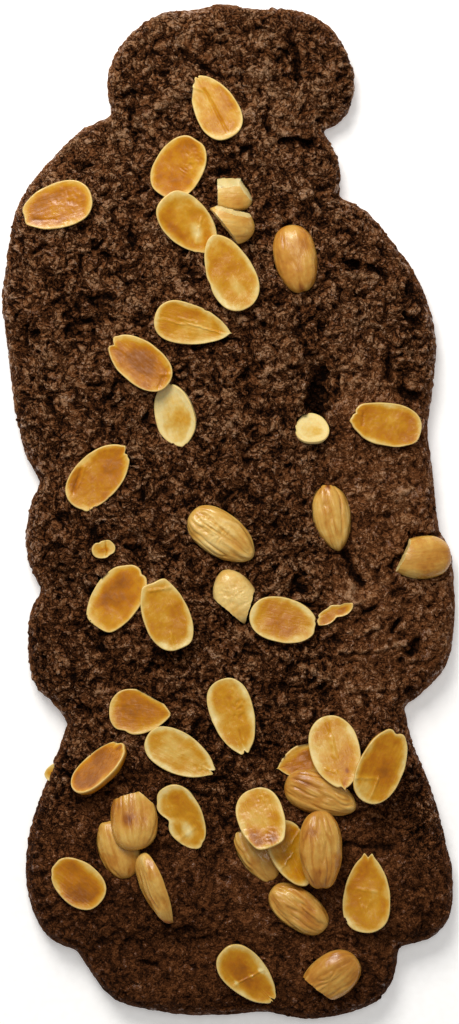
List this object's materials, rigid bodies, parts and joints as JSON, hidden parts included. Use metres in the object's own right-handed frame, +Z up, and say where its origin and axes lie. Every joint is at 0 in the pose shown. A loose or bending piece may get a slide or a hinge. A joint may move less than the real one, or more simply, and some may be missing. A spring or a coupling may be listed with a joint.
{
  "type": "speculoos cookie",
  "caption": "Large baked spiced biscuit in the outline of a figure with a broad hat, its dark cracked top studded with split blanched almonds, lying flat.",
  "frame": {"origin": "under the middle of the biscuit's outline, on the plane of its flat baked underside", "axes": "+Z up out of the almond-studded top, +Y along the figure from foot to hat, +X to the right as seen from above"},
  "size_m": [0.1342, 0.2998, 0.0233],
  "materials": {
    "dough": "matte, crumbly, baked dark spiced dough",
    "almond_cut_face": "satin, oven-toasted blanched almond, cut face",
    "almond_round_face": "satin, oven-toasted blanched almond, round face"
  },
  "bodies": {
    "root": {"almond_dome_04": "almond_round_face", "almond_dome_05": "almond_round_face", "almond_dome_08": "almond_round_face", "almond_dome_15": "almond_round_face", "almond_dome_16": "almond_round_face", "almond_dome_18": "almond_round_face", "almond_dome_21": "almond_round_face", "almond_dome_31": "almond_round_face", "almond_dome_32": "almond_round_face", "almond_dome_33": "almond_round_face", "almond_dome_35": "almond_round_face", "almond_dome_37": "almond_round_face", "almond_dome_39": "almond_round_face", "almond_dome_40": "almond_round_face", "almond_dome_44": "almond_round_face", "almond_flat_01": "almond_cut_face", "almond_flat_02": "almond_cut_face", "almond_flat_03": "almond_cut_face", "almond_flat_06": "almond_cut_face", "almond_flat_07": "almond_cut_face", "almond_flat_09": "almond_cut_face", "almond_flat_10": "almond_cut_face", "almond_flat_11": "almond_cut_face", "almond_flat_12": "almond_cut_face", "almond_flat_13": "almond_cut_face", "almond_flat_14": "almond_cut_face", "almond_flat_17": "almond_cut_face", "almond_flat_19": "almond_cut_face", "almond_flat_20": "almond_cut_face", "almond_flat_22": "almond_cut_face", "almond_flat_23": "almond_cut_face", "almond_flat_24": "almond_cut_face", "almond_flat_25": "almond_cut_face", "almond_flat_26": "almond_cut_face", "almond_flat_27": "almond_cut_face", "almond_flat_28": "almond_cut_face", "almond_flat_29": "almond_cut_face", "almond_flat_30": "almond_cut_face", "almond_flat_34": "almond_cut_face", "almond_flat_36": "almond_cut_face", "almond_flat_38": "almond_cut_face", "almond_flat_41": "almond_cut_face", "almond_flat_42": "almond_cut_face", "almond_flat_43": "almond_cut_face", "almond_flat_45": "almond_cut_face", "dough": "dough"}
  },
  "joints": []
}
